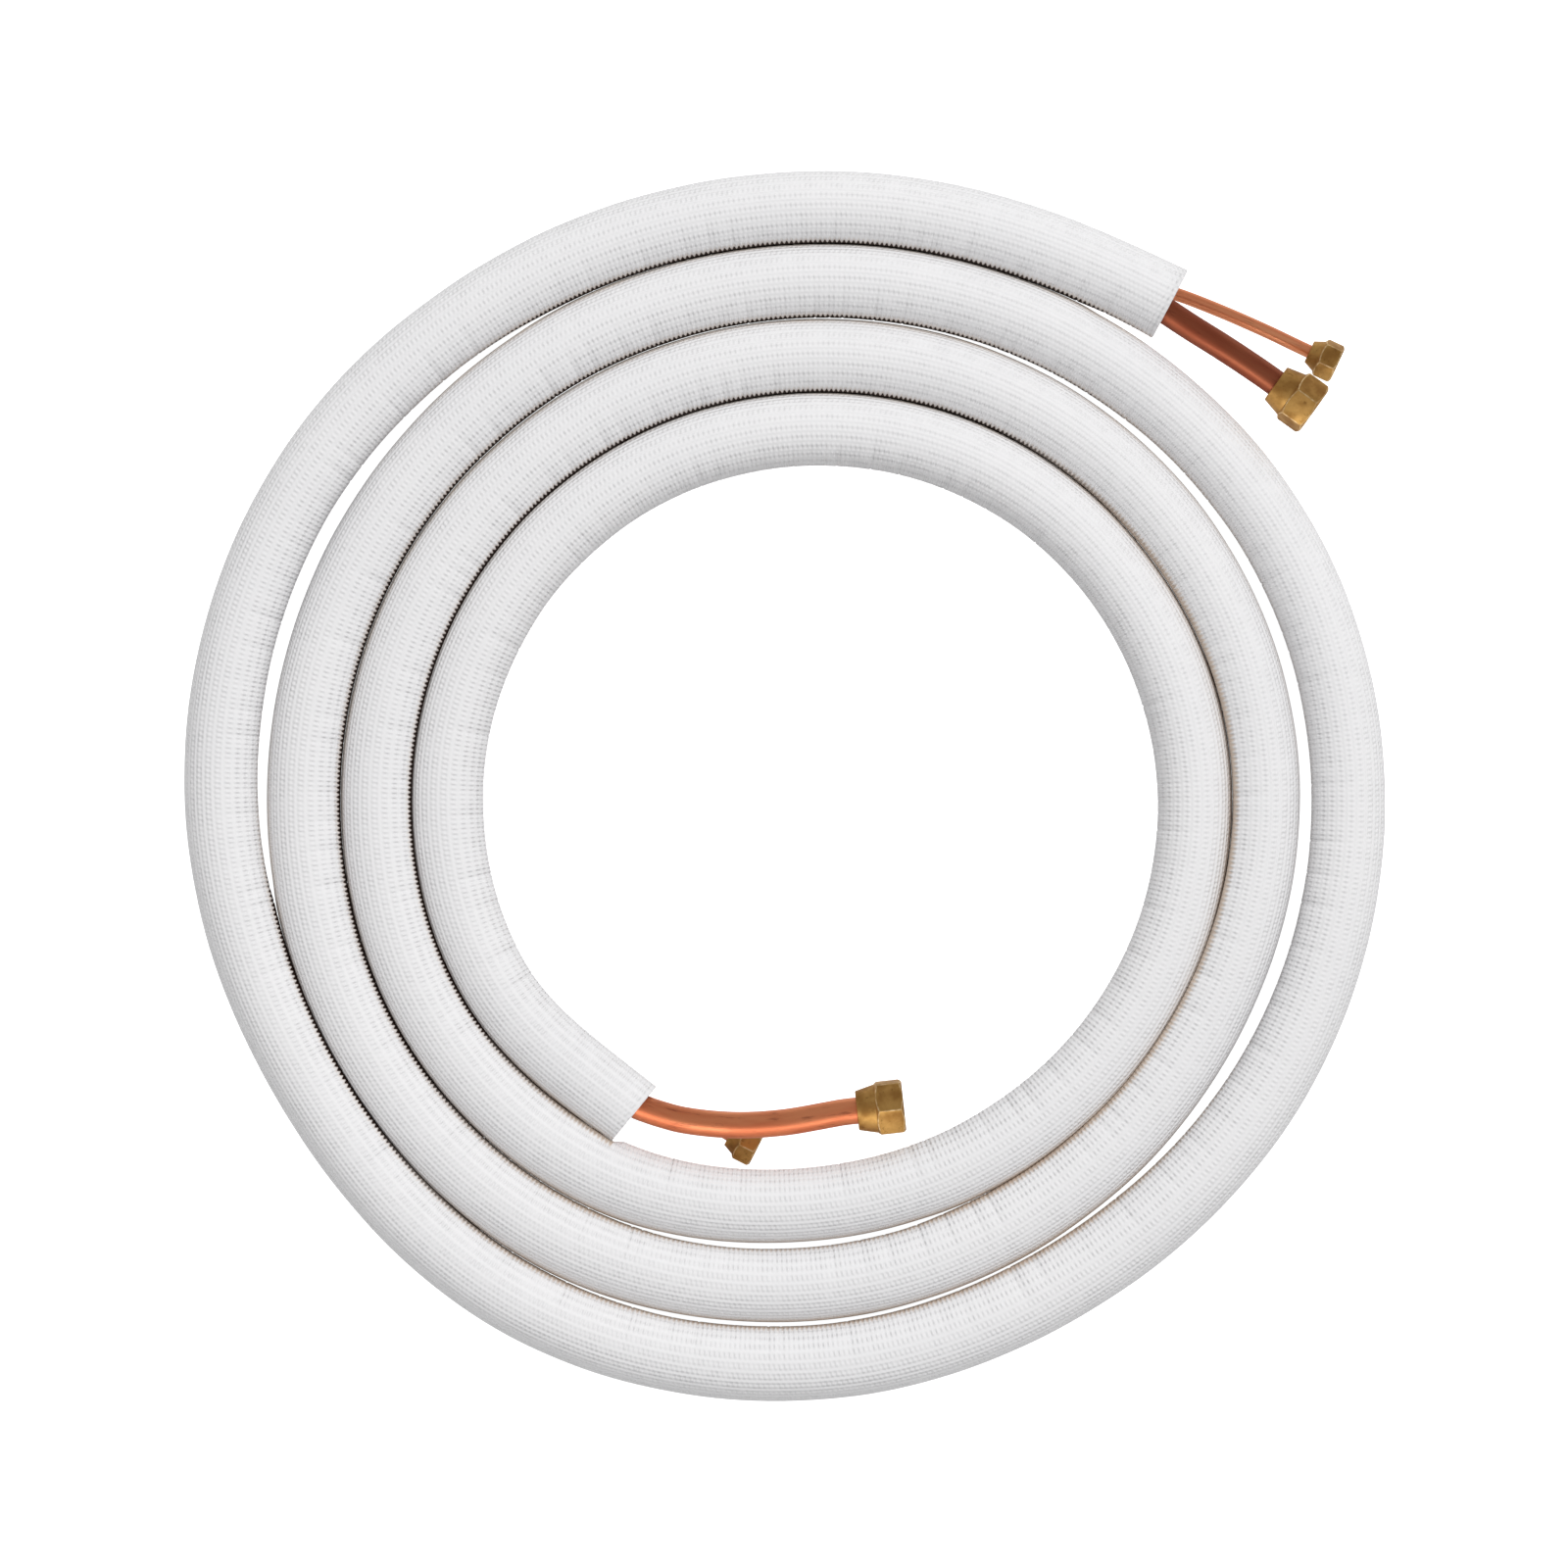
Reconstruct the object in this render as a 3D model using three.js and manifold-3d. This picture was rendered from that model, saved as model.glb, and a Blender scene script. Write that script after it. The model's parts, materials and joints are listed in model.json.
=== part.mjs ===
import * as THREE from 'three';
import { mergeVertices } from 'three/addons/utils/BufferGeometryUtils.js';
import Module from 'manifold-3d';

// Mini split line set: a half inch suction line and a quarter inch liquid line, each a soft copper tube
// in its own white foam sleeve, wound together as one flat coil that lies on the floor. The liquid line
// lies underneath. A brass flare nut hangs on each of the four tube ends. Millimetres, +Z up, the origin
// on the floor under the middle of the whole set.

// Copper tubes
const SUCTION_TUBE_OD = 12.7;
const LIQUID_TUBE_OD = 6.35;
const TUBE_WALL = 0.8;
const SUCTION_FLARE_OD = 16.6;
const LIQUID_FLARE_OD = 9.1;

// Foam sleeves, measured across their flat facets
const FOAM_WALL = 10.6;
const BORE_CLEARANCE = 0.35;
const STACK_GAP = 0.3;
const LIQUID_SLEEVE_SHORTER_INSIDE = 12;
const LIQUID_SLEEVE_SHORTER_OUTSIDE = 34;

// The coil, unwound from its inner end. Every 30 degrees it has the first turn's distance outside the
// coil's inner radius, on its middle line, and from there on the free gap to the turn that lies inside it.
const KNOT_ANGLE = 30;
const INNER_END_BEARING = 239.2;
const WOUND_ANGLE = 1264.4;
const COIL_RADIUS = 172.9;
const FIRST_TURN_RISES = [0, 3.3, 4.1, 3.4, 2.4, 1.8, 1.9, 2.9, 3.8, 6.3, 11, 20.6];
const SECOND_TURN_GAPS = [0.8, 0.8, 0.5, 0.5, 0.5, 0.6, 0.6, 0.5, 0.5, 0.5, 1.2, 3];
const THIRD_TURN_GAPS = [1, 0.7, 0.7, 1.2, 1, 1.1, 2.2, 3.5, 3.6, 3.6, 2.2, 2];
const OUTER_TURN_GAPS = [0.8, 0.9, 3.6, 5.5, 1.8, 1.1, 1.5, 16, 32];

// Bare tube ends. Points are millimetres ahead of the suction sleeve's end face and to its left,
// seen from above. The nut's heading is in degrees to the left, and so is the turn of its hexagon.
const SUCTION_INNER_END = {
  bends: [[6.3, 2.4], [23.7, 8.3], [45, 17.2], [64, 28.8]],
  nutFront: [110.5, 63.4],
  nutHeading: 35,
  hexTurn: -9.7,
};
const SUCTION_OUTER_END = {
  bends: [[8, -1.3], [22, -2.9], [40, -4.3]],
  nutFront: [84.7, -7.2],
  nutHeading: -5.5,
  hexTurn: 21,
};
const LIQUID_INNER_END = {
  bends: [[10.8, 2], [23.7, 5.6]],
  nutFront: [59.5, 11.5],
  nutHeading: 1.6,
  hexTurn: -12,
};
const LIQUID_OUTER_END = {
  bends: [[-16, 3.6], [1, 9], [23.4, 12.2], [46.4, 14.9]],
  nutFront: [83.6, 18],
  nutHeading: 5,
  hexTurn: -16.8,
};
const STRAIGHT_BEFORE_NUT = 6;

// Flare nuts: a tapered collar, a hexagon with both edges chamfered, a 45 degree seat and a socket
const SUCTION_NUT = {
  acrossFlats: 24,
  length: 22.4,
  collarLength: 9.1,
  collarBackOd: 19,
  collarFrontOd: 23.2,
  seatDepth: 8,
  socketDiameter: 17.4,
};
const LIQUID_NUT = {
  acrossFlats: 17,
  length: 14.8,
  collarLength: 5.3,
  collarBackOd: 11.4,
  collarFrontOd: 15.4,
  seatDepth: 4.5,
  socketDiameter: 9.9,
};
const NUT_CLEARANCE = 0.35;
const NUT_CHAMFER = 0.9;
const CHAMFER_ANGLE = 30;
const SOCKET_CHAMFER = 0.5;

// How finely the round shapes are faceted
const COIL_STEP = 15;
const SLEEVE_SIDES = 12;
const TUBE_SIDES = 8;
const LIQUID_BORE_SIDES = 6;
const NUT_SIDES = 18;
const TAIL_STEP = 12;

// Sizes that follow
const RADIANS = Math.PI / 180;
const UP = new THREE.Vector3(0, 0, 1);
const sleeveBore = (tubeOd) => tubeOd + 2 * BORE_CLEARANCE;
const sleeveOd = (tubeOd) => sleeveBore(tubeOd) + 2 * FOAM_WALL;
const suctionSleeveOd = sleeveOd(SUCTION_TUBE_OD);
const liquidSleeveOd = sleeveOd(LIQUID_TUBE_OD);
const liquidHeight = liquidSleeveOd / 2;
const suctionHeight = liquidSleeveOd + STACK_GAP + suctionSleeveOd / 2;
const widestSleeve = Math.max(suctionSleeveOd, liquidSleeveOd);

// Middle-line radii at every knot: each turn lies one sleeve and one gap outside the turn before it
const turnGaps = [...SECOND_TURN_GAPS, ...THIRD_TURN_GAPS, ...OUTER_TURN_GAPS];
const knotRadii = FIRST_TURN_RISES.map((rise) => COIL_RADIUS + rise);
for (const gap of turnGaps) {
  const turnInside = knotRadii[knotRadii.length - 360 / KNOT_ANGLE];
  knotRadii.push(turnInside + widestSleeve + gap);
}

function knotRadius(index) {
  if (index < 0) return 2 * knotRadii[0] - knotRadii[1];
  return knotRadii[index];
}

// Radius of the middle line, a smooth curve through the knots
function coilRadius(angle) {
  const place = angle / KNOT_ANGLE;
  const knot = Math.max(Math.floor(place), 0);
  const part = place - knot;
  const start = knotRadius(knot);
  const end = knotRadius(knot + 1);
  const startSlope = (end - knotRadius(knot - 1)) / 2;
  const endSlope = (knotRadius(knot + 2) - start) / 2;
  const rise = part * part * (3 - 2 * part);
  const leave = part * (1 - part) * (1 - part);
  const arrive = part * part * (part - 1);
  return start + (end - start) * rise + startSlope * leave + endSlope * arrive;
}

function coilPoint(angle, height) {
  const bearing = (INNER_END_BEARING - angle) * RADIANS;
  const radius = coilRadius(angle);
  return new THREE.Vector3(radius * Math.cos(bearing), radius * Math.sin(bearing), height);
}

function coilTangent(angle) {
  const nudge = 0.05;
  return coilPoint(angle + nudge, 0).sub(coilPoint(angle - nudge, 0)).normalize();
}

// Stations along the coil, at the same bearings on every turn so that the facets of the turns line up
function coilStations(fromAngle, toAngle, height) {
  const angles = [fromAngle];
  let next = (Math.floor(fromAngle / COIL_STEP) + 1) * COIL_STEP;
  while (next < toAngle) {
    angles.push(next);
    next += COIL_STEP;
  }
  angles.push(toAngle);
  return angles.map((angle) => ({ point: coilPoint(angle, height), tangent: coilTangent(angle) }));
}

// A path that is asked for its own stations only, which the sweep then joins
class StationPath extends THREE.Curve {
  constructor(stations) {
    super();
    this.stations = stations;
  }

  nearest(share) {
    return this.stations[Math.round(share * (this.stations.length - 1))];
  }

  getPoint(share, target = new THREE.Vector3()) {
    return target.copy(this.nearest(share).point);
  }

  getPointAt(share, target) {
    return this.getPoint(share, target);
  }

  getTangent(share, target = new THREE.Vector3()) {
    return target.copy(this.nearest(share).tangent);
  }

  getTangentAt(share, target) {
    return this.getTangent(share, target);
  }
}

// Ring of corner points with a flat facet on top, below and at both sides
function ring(sides, cornerRadius) {
  const points = [];
  for (let corner = 0; corner < sides; corner += 1) {
    const angle = ((corner + 0.5) * 2 * Math.PI) / sides;
    points.push(new THREE.Vector2(cornerRadius * Math.cos(angle), cornerRadius * Math.sin(angle)));
  }
  return points;
}

function sweptPipe(stations, outerRing, boreRing) {
  const section = new THREE.Shape(outerRing);
  if (boreRing) section.holes.push(new THREE.Path(boreRing));
  const path = new StationPath(stations);
  return new THREE.ExtrudeGeometry(section, { steps: stations.length - 1, extrudePath: path });
}

// Both sleeve ends of the suction line, from which the bare ends are measured
const innerFrame = {
  origin: coilPoint(0, 0),
  ahead: coilTangent(0).negate(),
};
const outerFrame = {
  origin: coilPoint(WOUND_ANGLE, 0),
  ahead: coilTangent(WOUND_ANGLE),
};

function fromFrame(frame, [ahead, left], height) {
  const side = UP.clone().cross(frame.ahead);
  const place = frame.origin.clone().addScaledVector(frame.ahead, ahead).addScaledVector(side, left);
  place.z = height;
  return place;
}

// Where a nut sits: its back face, and the way it points
function nutPlace(frame, tubeEnd, nut, height) {
  const axis = frame.ahead.clone().applyAxisAngle(UP, tubeEnd.nutHeading * RADIANS);
  const back = fromFrame(frame, tubeEnd.nutFront, height).addScaledVector(axis, -nut.length);
  return { axis, back, turn: tubeEnd.hexTurn * RADIANS };
}

// The flare's mouth lies just behind the start of the nut's socket
function flareMouthDepth(nut, tubeOd, flareOd) {
  return nut.seatDepth + NUT_CLEARANCE * Math.SQRT2 + (flareOd - tubeOd) / 2;
}

// Bare tube from the sleeve to the mouth of its flare, straight where the nut slides on
function tailStations(firstPoint, frame, tubeEnd, place, mouthDepth, height) {
  const points = [firstPoint];
  for (const bend of tubeEnd.bends) points.push(fromFrame(frame, bend, height));
  for (const depth of [-STRAIGHT_BEFORE_NUT, 0, mouthDepth]) {
    points.push(place.back.clone().addScaledVector(place.axis, depth));
  }
  const route = new THREE.CatmullRomCurve3(points, false, 'centripetal');
  const steps = Math.ceil(route.getLength() / TAIL_STEP);
  const stations = [];
  for (let step = 1; step < steps; step += 1) {
    stations.push({ point: route.getPointAt(step / steps), tangent: route.getTangentAt(step / steps) });
  }
  stations.push({ point: points.at(-1), tangent: place.axis.clone() });
  return stations;
}

function reversed(stations) {
  const backwards = stations.map(({ point, tangent }) => ({ point, tangent: tangent.clone().negate() }));
  return backwards.reverse();
}

const wasm = await Module();
wasm.setup();

function toSolid(geometry) {
  const bare = geometry.clone();
  bare.deleteAttribute('normal');
  bare.deleteAttribute('uv');
  const merged = mergeVertices(bare, 1e-4);
  const mesh = new wasm.Mesh({
    numProp: 3,
    vertProperties: new Float32Array(merged.attributes.position.array),
    triVerts: new Uint32Array(merged.index.array),
  });
  return new wasm.Manifold(mesh);
}

function toGeometry(solid) {
  const mesh = solid.getMesh();
  const geometry = new THREE.BufferGeometry();
  geometry.setAttribute('position', new THREE.BufferAttribute(new Float32Array(mesh.vertProperties), 3));
  geometry.setIndex(new THREE.BufferAttribute(new Uint32Array(mesh.triVerts), 1));
  return geometry;
}

// Turned shapes are made along Y, and then laid along a tube's end with their X side up
function laidAlong(geometry, origin, axis) {
  const side = UP.clone().cross(axis);
  const place = new THREE.Matrix4().makeBasis(UP, axis, side).setPosition(origin);
  return geometry.applyMatrix4(place);
}

// A cone along Y from one depth to another, with its facets in line with the tube's
function coneBetween(depthA, radiusA, depthB, radiusB, sides) {
  const facetTurn = Math.PI / 2 - Math.PI / sides;
  const length = depthB - depthA;
  const cone = new THREE.CylinderGeometry(radiusB, radiusA, length, sides, 1, false, facetTurn);
  return cone.translate(0, (depthA + depthB) / 2, 0);
}

// A copper tube from flare to flare: its solid outside with a skirt at both ends, less its bore, which
// opens to a funnel at both mouths
function flaredTube(route, places, mouthDepth, tubeOd, flareOd, boreSides) {
  const rise = (flareOd - tubeOd) / 2;
  const boreRadius = tubeOd / 2 - TUBE_WALL;
  const boreRise = rise - TUBE_WALL * (Math.SQRT2 - 1);
  const past = 0.5;
  let outside = toSolid(sweptPipe(route, ring(TUBE_SIDES, tubeOd / 2)));
  let bore = toSolid(sweptPipe(route, ring(boreSides, boreRadius)));
  for (const place of places) {
    const skirt = coneBetween(mouthDepth - rise, tubeOd / 2, mouthDepth, flareOd / 2, TUBE_SIDES);
    const funnel = coneBetween(
      mouthDepth - boreRise,
      boreRadius,
      mouthDepth + past,
      boreRadius + boreRise + past,
      boreSides,
    );
    outside = outside.add(toSolid(laidAlong(skirt, place.back, place.axis)));
    bore = bore.add(toSolid(laidAlong(funnel, place.back, place.axis)));
  }
  return toGeometry(outside.subtract(bore));
}

// One flare nut: a hexagonal bar turned down to its collar and chamfers, then bored
function flareNut(nut, tubeOd, place) {
  const cornerRadius = nut.acrossFlats / 2 / Math.cos(Math.PI / 6);
  const slope = Math.tan(CHAMFER_ANGLE * RADIANS);
  const shoulder = nut.acrossFlats / 2 - NUT_CHAMFER / 2;
  const chamferLength = (cornerRadius - shoulder) * slope;
  const beyondCorner = 1 / Math.cos(Math.PI / NUT_SIDES);
  const outline = [
    [0, 0],
    [nut.collarBackOd / 2, 0],
    [nut.collarFrontOd / 2, nut.collarLength],
    [shoulder, nut.collarLength],
    [cornerRadius * beyondCorner, nut.collarLength + chamferLength],
    [cornerRadius * beyondCorner, nut.length - chamferLength],
    [shoulder, nut.length],
    [0, nut.length],
  ];
  const boreRadius = (tubeOd / 2 + NUT_CLEARANCE) * beyondCorner;
  const socketRadius = nut.socketDiameter / 2;
  const socketStart = nut.seatDepth + socketRadius - boreRadius;
  const past = 1;
  const bore = [
    [0, -past],
    [boreRadius, -past],
    [boreRadius, nut.seatDepth],
    [socketRadius, socketStart],
    [socketRadius, nut.length - SOCKET_CHAMFER],
    [socketRadius + SOCKET_CHAMFER + past, nut.length + past],
    [0, nut.length + past],
  ];
  const turned = ([...points]) => {
    const profile = points.map(([radius, depth]) => new THREE.Vector2(radius, depth));
    return toSolid(laidAlong(new THREE.LatheGeometry(profile, NUT_SIDES), place.back, place.axis));
  };
  const hexagon = new THREE.CylinderGeometry(
    cornerRadius,
    cornerRadius,
    nut.length,
    6,
    1,
    false,
    Math.PI / 6 - place.turn,
  );
  hexagon.translate(0, nut.length / 2, 0);
  const bar = toSolid(laidAlong(hexagon, place.back, place.axis));
  return toGeometry(bar.intersect(turned(outline)).subtract(turned(bore)));
}

// Finishes
const foam = () => new THREE.MeshStandardMaterial({ color: 0xe9eaec, roughness: 0.75, metalness: 0 });
const copper = () => new THREE.MeshStandardMaterial({ color: 0xb8643f, roughness: 0.35, metalness: 1 });
const brass = () => new THREE.MeshStandardMaterial({ color: 0xa98648, roughness: 0.4, metalness: 1 });

const lineSet = new THREE.Group();

function addPiece(name, geometry, material) {
  const piece = new THREE.Mesh(geometry, material);
  piece.name = name;
  lineSet.add(piece);
}

// One line: its sleeve on the coil, its tube from flare to flare, and a nut at each end
function addLine(line) {
  const { name, height, tubeOd, flareOd, nut, innerEnd, outerEnd, boreSides } = line;
  const firstAngle = line.shorterInside / coilRadius(0) / RADIANS;
  const lastAngle = WOUND_ANGLE - line.shorterOutside / coilRadius(WOUND_ANGLE) / RADIANS;
  const wound = coilStations(firstAngle, lastAngle, height);
  const sleeveCorner = sleeveOd(tubeOd) / 2 / Math.cos(Math.PI / SLEEVE_SIDES);
  const sleeve = sweptPipe(wound, ring(SLEEVE_SIDES, sleeveCorner), ring(TUBE_SIDES, sleeveBore(tubeOd) / 2));
  addPiece(`${name}_insulation`, sleeve, foam());

  const innerPlace = nutPlace(innerFrame, innerEnd, nut, height);
  const outerPlace = nutPlace(outerFrame, outerEnd, nut, height);
  const mouth = flareMouthDepth(nut, tubeOd, flareOd);
  const innerTail = tailStations(wound[0].point, innerFrame, innerEnd, innerPlace, mouth, height);
  const outerTail = tailStations(wound.at(-1).point, outerFrame, outerEnd, outerPlace, mouth, height);
  const route = [...reversed(innerTail), ...wound, ...outerTail];
  const tube = flaredTube(route, [innerPlace, outerPlace], mouth, tubeOd, flareOd, boreSides);
  addPiece(`${name}_tube`, tube, copper());

  addPiece(`${name}_nut_inner`, flareNut(nut, tubeOd, innerPlace), brass());
  addPiece(`${name}_nut_outer`, flareNut(nut, tubeOd, outerPlace), brass());
}

addLine({
  name: 'suction_line',
  height: suctionHeight,
  tubeOd: SUCTION_TUBE_OD,
  flareOd: SUCTION_FLARE_OD,
  nut: SUCTION_NUT,
  innerEnd: SUCTION_INNER_END,
  outerEnd: SUCTION_OUTER_END,
  boreSides: TUBE_SIDES,
  shorterInside: 0,
  shorterOutside: 0,
});
addLine({
  name: 'liquid_line',
  height: liquidHeight,
  tubeOd: LIQUID_TUBE_OD,
  flareOd: LIQUID_FLARE_OD,
  nut: LIQUID_NUT,
  innerEnd: LIQUID_INNER_END,
  outerEnd: LIQUID_OUTER_END,
  boreSides: LIQUID_BORE_SIDES,
  shorterInside: LIQUID_SLEEVE_SHORTER_INSIDE,
  shorterOutside: LIQUID_SLEEVE_SHORTER_OUTSIDE,
});

// The origin goes under the middle of the whole set
const extent = new THREE.Box3().setFromObject(lineSet);
const middle = extent.getCenter(new THREE.Vector3());
lineSet.position.set(-middle.x, -middle.y, 0);

export default lineSet;
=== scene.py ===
import json
import math
import random
from bisect import bisect

import bmesh
import bpy
from mathutils import Matrix, Vector, noise


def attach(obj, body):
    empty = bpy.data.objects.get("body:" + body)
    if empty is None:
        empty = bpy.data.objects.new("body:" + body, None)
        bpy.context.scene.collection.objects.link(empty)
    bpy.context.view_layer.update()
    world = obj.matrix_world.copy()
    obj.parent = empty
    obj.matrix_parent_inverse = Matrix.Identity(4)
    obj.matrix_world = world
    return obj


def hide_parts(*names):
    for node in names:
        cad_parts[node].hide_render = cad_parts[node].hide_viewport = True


# The whole set: two copper refrigerant lines, each in its own white foam sleeve, wound together as one
# flat coil, with a loose brass flare nut on each of the four bare tube ends. Its solids are the frame.
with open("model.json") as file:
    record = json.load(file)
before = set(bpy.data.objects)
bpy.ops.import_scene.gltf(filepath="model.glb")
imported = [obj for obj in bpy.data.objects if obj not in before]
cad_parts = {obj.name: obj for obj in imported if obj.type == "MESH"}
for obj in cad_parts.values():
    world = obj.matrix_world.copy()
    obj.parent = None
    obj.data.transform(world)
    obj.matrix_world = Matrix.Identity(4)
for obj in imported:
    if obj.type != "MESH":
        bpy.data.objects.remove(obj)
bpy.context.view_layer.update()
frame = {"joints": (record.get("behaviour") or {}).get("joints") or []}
joints = {joint["name"]: joint for joint in frame["joints"]}
MM = 0.001

# Studio
# The coil lies on a plain white floor and is seen from straight above with a long lens. One soft
# key light stands high at the upper right, and a wide panel that only glossy metal shows stands low
# beside the picture's bottom edge.
PHOTO_PIXELS = 1600
PIXELS_PER_MM = 2.15
VIEW_CENTRE = Vector((-0.00023, -0.00023, 0.04585))
VIEW_DISTANCE = 12.0
VIEW_WIDTH = PHOTO_PIXELS / PIXELS_PER_MM * MM
SENSOR = 36.0
ROOM_LIGHT = 0.51
ROOM_SHINE = 0.44
KEY_STRENGTH = 1.55
KEY_SOFTNESS = 38
KEY_BEARING, KEY_ELEVATION, KEY_DISTANCE = 58, 54, 3
PANEL_LENGTH, PANEL_WIDTH = 2.6, 0.9
PANEL_POWER = 24
PANEL_BEARING, PANEL_ELEVATION, PANEL_DISTANCE = 255, 40, 2.6
FLOOR_HALF_WIDTH = 20
FLOOR_WHITE = (0.82, 0.82, 0.82, 1)

camera = bpy.data.objects.new("camera", bpy.data.cameras.new("camera"))
bpy.context.scene.collection.objects.link(camera)
camera.data.sensor_width = SENSOR
camera.data.lens = SENSOR * VIEW_DISTANCE / VIEW_WIDTH
camera.data.clip_end = 50
camera.location = VIEW_CENTRE + Vector((0, 0, VIEW_DISTANCE))
bpy.context.scene.camera = camera
bpy.context.scene.view_settings.view_transform = "Standard"

world = bpy.data.worlds.new("studio_room")
world.use_nodes = True
world.node_tree.nodes["Background"].inputs["Color"].default_value = (1.0, 1.0, 1.0, 1)
bpy.context.scene.world = world
ray = world.node_tree.nodes.new("ShaderNodeLightPath")
room = world.node_tree.nodes.new("ShaderNodeMix")
room.inputs["A"].default_value = ROOM_LIGHT
room.inputs["B"].default_value = ROOM_SHINE
world.node_tree.links.new(ray.outputs["Is Glossy Ray"], room.inputs["Factor"])
world.node_tree.links.new(
    room.outputs["Result"], world.node_tree.nodes["Background"].inputs["Strength"]
)


def aim(light, bearing, elevation, distance):
    """Hangs a light at a bearing and elevation round the coil, facing it."""
    side = math.cos(math.radians(elevation))
    back = Vector(
        (
            side * math.cos(math.radians(bearing)),
            side * math.sin(math.radians(bearing)),
            math.sin(math.radians(elevation)),
        )
    )
    light.location = back * distance
    light.rotation_euler = back.to_track_quat("Z", "Y").to_euler()


key = bpy.data.objects.new("key_light", bpy.data.lights.new("key_light", "SUN"))
key.data.energy = KEY_STRENGTH
key.data.angle = math.radians(KEY_SOFTNESS)
key.visible_glossy = False
aim(key, KEY_BEARING, KEY_ELEVATION, KEY_DISTANCE)
bpy.context.scene.collection.objects.link(key)

panel = bpy.data.objects.new("glossy_panel", bpy.data.lights.new("glossy_panel", "AREA"))
panel.data.shape = "RECTANGLE"
panel.data.size = PANEL_LENGTH
panel.data.size_y = PANEL_WIDTH
panel.data.energy = PANEL_POWER
panel.visible_diffuse = False
aim(panel, PANEL_BEARING, PANEL_ELEVATION, PANEL_DISTANCE)
bpy.context.scene.collection.objects.link(panel)

floor_mesh = bmesh.new()
bmesh.ops.create_grid(floor_mesh, x_segments=1, y_segments=1, size=FLOOR_HALF_WIDTH)
floor_data = bpy.data.meshes.new("floor")
floor_mesh.to_mesh(floor_data)
floor_mesh.free()
floor = bpy.data.objects.new("floor", floor_data)
bpy.context.scene.collection.objects.link(floor)

floor_paint = bpy.data.materials.new("white_floor")
floor_paint.use_nodes = True
tree = floor_paint.node_tree
painted = tree.nodes["Principled BSDF"]
painted.inputs["Base Color"].default_value = FLOOR_WHITE
painted.inputs["Roughness"].default_value = 1.0
painted.inputs["Specular IOR Level"].default_value = 0.0
glow = tree.nodes.new("ShaderNodeEmission")
glow.inputs["Strength"].default_value = 1.0
seen = tree.nodes.new("ShaderNodeLightPath")
lit = tree.nodes.new("ShaderNodeAddShader")
choice = tree.nodes.new("ShaderNodeMixShader")
tree.links.new(painted.outputs["BSDF"], lit.inputs[0])
tree.links.new(glow.outputs["Emission"], lit.inputs[1])
tree.links.new(seen.outputs["Is Camera Ray"], choice.inputs["Fac"])
tree.links.new(painted.outputs["BSDF"], choice.inputs[1])
tree.links.new(lit.outputs["Shader"], choice.inputs[2])
tree.links.new(choice.outputs["Shader"], tree.nodes["Material Output"].inputs["Surface"])
floor_data.materials.append(floor_paint)

# Suction line's foam sleeve
# A closed-cell polyethylene foam pipe with a white film skin, embossed with a fine waffle. It is wound
# tight, so neighbouring turns press flat against each other and its inner side is creased by the bend.
COIL_CENTRE = Vector((17.798, -6.818))
INNER_END_BEARING = 239.2
WOUND_ANGLE = 1264.4
KNOT_ANGLE = 30
# Radius of the middle line every 30 degrees, unwound from the inner end, in millimetres
MIDDLE_RADII = [
    175.3, 178.4, 178.3, 177.3, 176.3, 175.0, 175.2, 175.3, 176.7, 179.3, 183.8, 192.6,
    206.2, 211.8, 210.9, 210.8, 210.2, 209.6, 209.9, 209.5, 209.4, 210.8, 218.6, 230.6,
    242.2, 246.1, 246.0, 246.1, 246.0, 245.7, 247.0, 249.3, 249.9, 251.8, 255.8, 268.0,
    278.2, 278.1, 285.3, 287.2, 282.3, 280.3, 284.3, 308.0, 329.0,
]
# The inner end was pulled a little inwards, and the tube lies towards the coil's middle at both ends
INNER_END_SLOPE = -14.0
INNER_END_DRIFT = 5.0
OUTER_END_DRIFT = 3.8
DRIFT_LENGTH = 28.0
SUCTION_HEIGHT = 45.85
SUCTION_SLEEVE_RADIUS = 17.5
SUCTION_BORE_RADIUS = 6.6
SLEEVE_SIDES = 36
WAFFLE_PITCH = 2.4
# Creases on the inner side of the bend. A depth is a random share to a power, so most are shallow.
FIRST_CREASE = 4, 9
CREASE_GAPS = 5.5, 19
CREASE_SHARES = 0.12, 0.6
CREASE_POWER = 1.7
CREASE_HALF_WIDTH = 0.7
CREASE_LIP = 0.15
CREASES_END, CREASES_FADE = 0.3, 1.2
# The film isn't quite round: low lumps, and a little shrunk
LUMP_LENGTH = 34
LUMP_TWIST = 1.4
LUMP_HEIGHT = 0.22
FILM_SHRINK = 0.05
PLAIN_SPACING = 6.0
BORE_SPACING = 15.0
RIM_ROUNDING = 0.35
# Turns closer than the touching room from their contact plane are pressed flat against it
PRESSED_GAP = 0.03
TOUCHING_ROOM = 17.95
TOUCHING_BLEND = 0.5
PRESSED_SPREAD = 1.02
# Reach of the painted cream bounce light on an outer side pressed against the next turn
FRINGE_ROOM, FRINGE_FADE = 3.2, 3
# The first turn bulges over the second on the coil's right, and the third is fatter at its lower right
BULGE_ANGLE, BULGE_SPREAD, BULGE = 595.0, 32.0, 2.0
FAT_ANGLE, FAT_SPREAD, FATTER = 1015.0, 32.0, 1.1
END_FLARE = 0.8
END_FLARE_LENGTH = 12.0
# Bearing away from the key light: the painted seam shadow is darkest where the coil's outer side faces it
SHADED_SIDE = Vector((-0.77, 0.64))


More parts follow.
